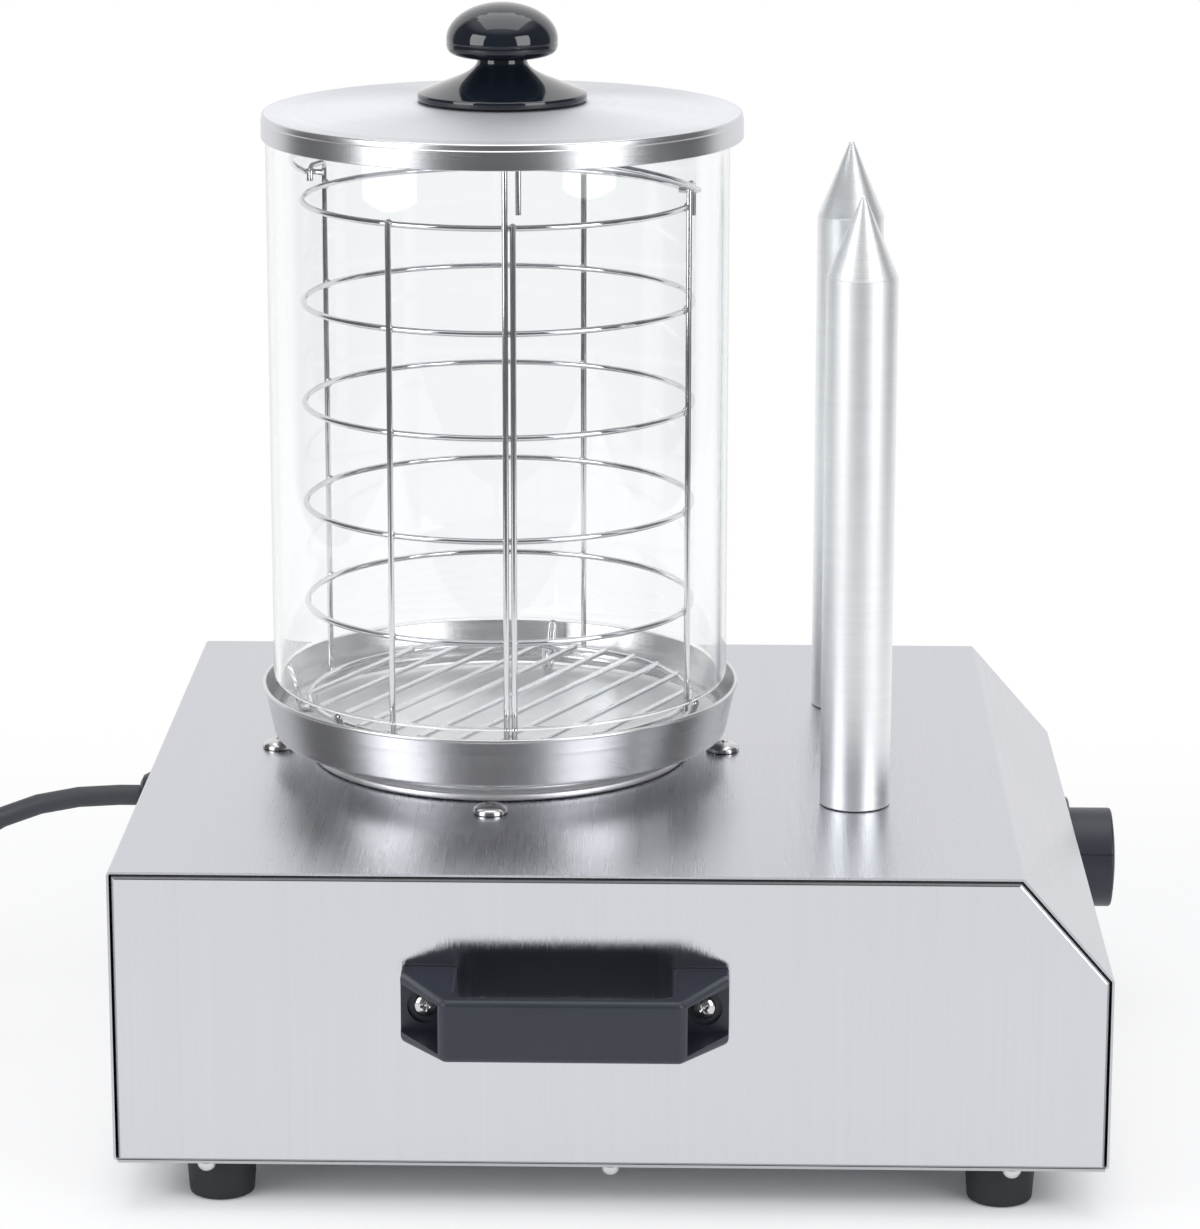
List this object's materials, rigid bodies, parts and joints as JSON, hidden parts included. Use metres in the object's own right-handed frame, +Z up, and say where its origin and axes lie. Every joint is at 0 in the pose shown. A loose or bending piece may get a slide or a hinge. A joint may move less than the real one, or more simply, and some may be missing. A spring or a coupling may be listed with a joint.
{
  "type": "hot dog maker",
  "caption": "Countertop hot dog maker: a stainless housing carries a glass steamer with a wire basket and lid, and heated bun spikes beside a thermostat knob.",
  "frame": {"origin": "on the worktop below the middle of the machine, its cord left out", "axes": "+Z up, -Y towards the controls at the front, +X to the right as seen from the front"},
  "size_m": [0.4522, 0.7122, 0.4778],
  "materials": {
    "stainless_satin": "satin brushed stainless sheet",
    "zinc_steel": "plain zinc-plated steel",
    "steel_screw": "bright plated steel",
    "black_rubber": "matt black rubber",
    "black_plastic": "satin black moulding",
    "aluminium": "satin turned aluminium",
    "glass_clear": "clear heat-resistant glass",
    "stainless_bright": "polished stainless wire",
    "black_gloss": "glossy black moulding",
    "stainless_dark": "heat-darkened stainless sheath",
    "dial_grey": "dark grey printed plate",
    "lamp_amber": "amber lens",
    "terminal_white": "off-white moulding",
    "cord_rubber": "black rubber cable sheath"
  },
  "bodies": {
    "housing": {"wrap_cover": "stainless_satin", "left_side_panel": "stainless_satin", "right_side_panel": "stainless_satin", "pan": "stainless_satin", "base_plate": "zinc_steel", "heater_bracket": "zinc_steel", "left_spike_nut": "zinc_steel", "right_spike_nut": "zinc_steel", "base_screw_1": "steel_screw", "base_screw_2": "steel_screw", "base_screw_3": "steel_screw", "base_screw_4": "steel_screw", "base_screw_5": "steel_screw", "base_screw_6": "steel_screw", "foot_screw_1": "steel_screw", "foot_screw_2": "steel_screw", "foot_screw_3": "steel_screw", "foot_screw_4": "steel_screw", "handle_screw_1": "steel_screw", "handle_screw_2": "steel_screw", "handle_screw_3": "steel_screw", "handle_screw_4": "steel_screw", "pan_screw_1": "steel_screw", "pan_screw_2": "steel_screw", "pan_screw_3": "steel_screw", "pan_screw_4": "steel_screw", "foot_1": "black_rubber", "foot_2": "black_rubber", "foot_3": "black_rubber", "foot_4": "black_rubber", "plug": "black_rubber", "left_handle": "black_plastic", "right_handle": "black_plastic", "thermostat_body": "black_plastic", "switch_body": "black_plastic", "cable_gland": "black_plastic", "gland_lock_nut": "black_plastic", "heating_plate": "aluminium", "left_spike": "aluminium", "right_spike": "aluminium", "glass_rest_1": "stainless_bright", "glass_rest_2": "stainless_bright", "glass_rest_3": "stainless_bright", "glass_rest_4": "stainless_bright", "left_spike_heater": "stainless_dark", "right_spike_heater": "stainless_dark", "dial_plate": "dial_grey", "pilot_lamp": "lamp_amber", "terminal_block": "terminal_white", "cord": "cord_rubber", "cord_coil": "cord_rubber"},
    "glass": {"glass_cylinder": "glass_clear"},
    "basket": {"basket": "stainless_bright"},
    "bail": {"basket_bail": "stainless_bright"},
    "lid": {"lid": "stainless_satin", "lid_knob": "black_gloss", "lid_knob_screw": "steel_screw"},
    "thermostat_knob_body": {"thermostat_knob": "black_plastic", "thermostat_shaft": "steel_screw"},
    "rocker": {"power_rocker": "black_gloss"}
  },
  "joints": [
    {"name": "glass_lift", "type": "slide", "parent": "housing", "child": "glass", "axis": [0, 0, 1], "range_m": [0, 0.26]},
    {"name": "basket_lift", "type": "slide", "parent": "glass", "child": "basket", "axis": [0, 0, 1], "range_m": [0, 0.265]},
    {"name": "lid_lift", "type": "slide", "parent": "basket", "child": "lid", "axis": [0, 0, 1], "range_m": [0, 0.26]},
    {"name": "bail_swing", "type": "hinge", "parent": "basket", "child": "bail", "pos_m": [0, 0.0521, 0.401], "axis": [0.2765, 0.961, 0], "range_deg": [0, 162.5]},
    {"name": "thermostat_turn", "type": "hinge", "parent": "housing", "child": "thermostat_knob_body", "pos_m": [0.088, -0.2056, 0.071], "axis": [0, 1, 0], "range_deg": [0, 270]},
    {"name": "power_switch", "type": "hinge", "parent": "housing", "child": "rocker", "pos_m": [-0.11, -0.2056, 0.0675], "axis": [-1, 0, 0], "range_deg": [0, 18]}
  ],
  "couplings": [
    {"joint": "bail_swing", "follows": "lid_lift", "rad_per_m": 10.9}
  ]
}
